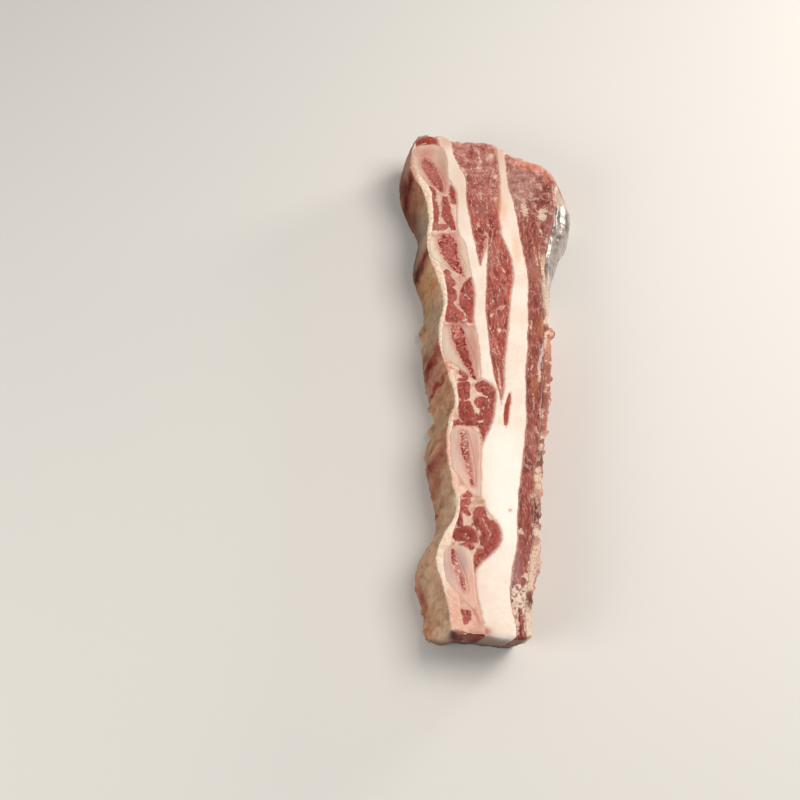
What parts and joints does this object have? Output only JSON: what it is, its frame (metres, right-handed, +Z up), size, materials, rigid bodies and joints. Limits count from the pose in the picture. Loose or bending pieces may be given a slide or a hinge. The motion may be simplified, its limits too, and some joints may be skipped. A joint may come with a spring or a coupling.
{
  "type": "flanken-cut beef ribs",
  "caption": "Thick strip of raw beef sawn straight across the ribs, with oval rib bones along one side, red muscle and broad seams of creamy fat, resting on its flat sawn face.",
  "frame": {"origin": "middle of the strip's bounding box, on the surface that it lies on", "axes": "+Z up, square to the sawn faces; +Y along the strip to its wide end; +X across it to the outer side, away from the ribs"},
  "size_m": [0.0868, 0.2662, 0.028],
  "materials": {
    "seam_fat": "moist creamy fat",
    "chest_rim": "satin membrane over fat",
    "outer_rim": "ragged pinkish fat",
    "silverskin": "wet glossy membrane",
    "bone": "sawn moist bone",
    "marrow": "spongy red marrow",
    "muscle": "moist cut muscle"
  },
  "bodies": {
    "root": {"rim_fat": "chest_rim", "seam_fat": "seam_fat", "outer_rim_fat": "outer_rim", "silverskin": "silverskin", "rib_bone_1": "bone", "rib_bone_2": "bone", "rib_bone_3": "bone", "rib_bone_4": "bone", "rib_bone_5": "bone", "rib_marrow_1": "marrow", "rib_marrow_2": "marrow", "rib_marrow_3": "marrow", "rib_marrow_4": "marrow", "rib_marrow_5": "marrow", "intercostal_1": "muscle", "intercostal_2": "muscle", "intercostal_3": "muscle", "intercostal_4": "muscle", "intercostal_5": "muscle", "intercostal_6": "muscle", "inner_lean": "muscle", "inner_lean_sliver": "muscle", "outer_lean": "muscle"}
  },
  "joints": []
}
